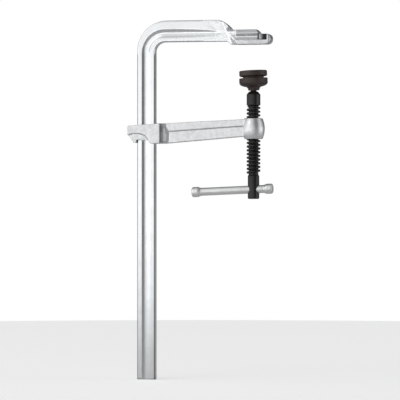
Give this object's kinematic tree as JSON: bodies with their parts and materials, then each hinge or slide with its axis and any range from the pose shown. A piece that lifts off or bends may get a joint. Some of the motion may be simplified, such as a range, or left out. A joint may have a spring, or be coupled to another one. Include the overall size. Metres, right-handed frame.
{
  "type": "f clamp",
  "caption": "All-steel F clamp: forged rail with fixed jaw, sliding arm, and a black screw with a swivel pad and a sliding tommy bar.",
  "frame": {"origin": "where the screw's axis meets the fixed jaw's pressure face", "axes": "+Z along the rail towards the fixed jaw, +X from the rail towards the screw, Y is the thickness"},
  "size_m": [0.1768, 0.034, 0.4316],
  "materials": {
    "zinc_rail": "drawn bar, bright zinc plated, satin",
    "zinc_forging": "drop-forged and shot-blasted, bright zinc plated",
    "hardened_steel": "hardened, oiled",
    "black_oxide": "black oxide, oiled, semi-gloss",
    "black_pad": "black oxide, slightly brown, satin",
    "zinc_bar": "bright zinc plated, polished by the hand"
  },
  "bodies": {
    "frame": {"rail_and_fixed_jaw": "zinc_rail"},
    "arm": {"sliding_arm": "zinc_forging", "lock_insert": "hardened_steel"},
    "ring_front": {"ball_ring_front": "hardened_steel"},
    "screw": {"spindle": "black_oxide"},
    "ring_back": {"ball_ring_back": "hardened_steel"},
    "pad": {"pad_socket": "black_pad", "pad_disc": "black_pad"},
    "handle": {"tommy_bar": "zinc_bar", "tommy_bar_left_end": "zinc_bar", "tommy_bar_right_end": "zinc_bar"}
  },
  "joints": [
    {"name": "arm_slide", "type": "slide", "parent": "frame", "child": "arm", "axis": [0, 0, 1], "range_m": [-0.27, 0]},
    {"name": "screw_feed", "type": "slide", "parent": "arm", "child": "ring_front", "axis": [0, 0, 1], "range_m": [-0.0155, 0.0287]},
    {"name": "screw_turn", "type": "hinge", "parent": "ring_front", "child": "screw", "pos_m": [0, 0, -0.1], "axis": [0, 0, 1], "range_deg": [-1260, 2340]},
    {"name": "pad_tilt_x", "type": "hinge", "parent": "ring_front", "child": "ring_back", "pos_m": [0, 0, -0.0445], "axis": [1, 0, 0], "range_deg": [-6, 6]},
    {"name": "pad_tilt_y", "type": "hinge", "parent": "ring_back", "child": "pad", "pos_m": [0, 0, -0.0445], "axis": [0, 1, 0], "range_deg": [-3.5, 8.5]},
    {"name": "bar_slide", "type": "slide", "parent": "screw", "child": "handle", "axis": [0.999, 0, 0.0436], "range_m": [-0.0038, 0.0554]}
  ],
  "couplings": [
    {"joint": "screw_feed", "follows": "screw_turn", "m_per_rad": 0.00070028}
  ]
}
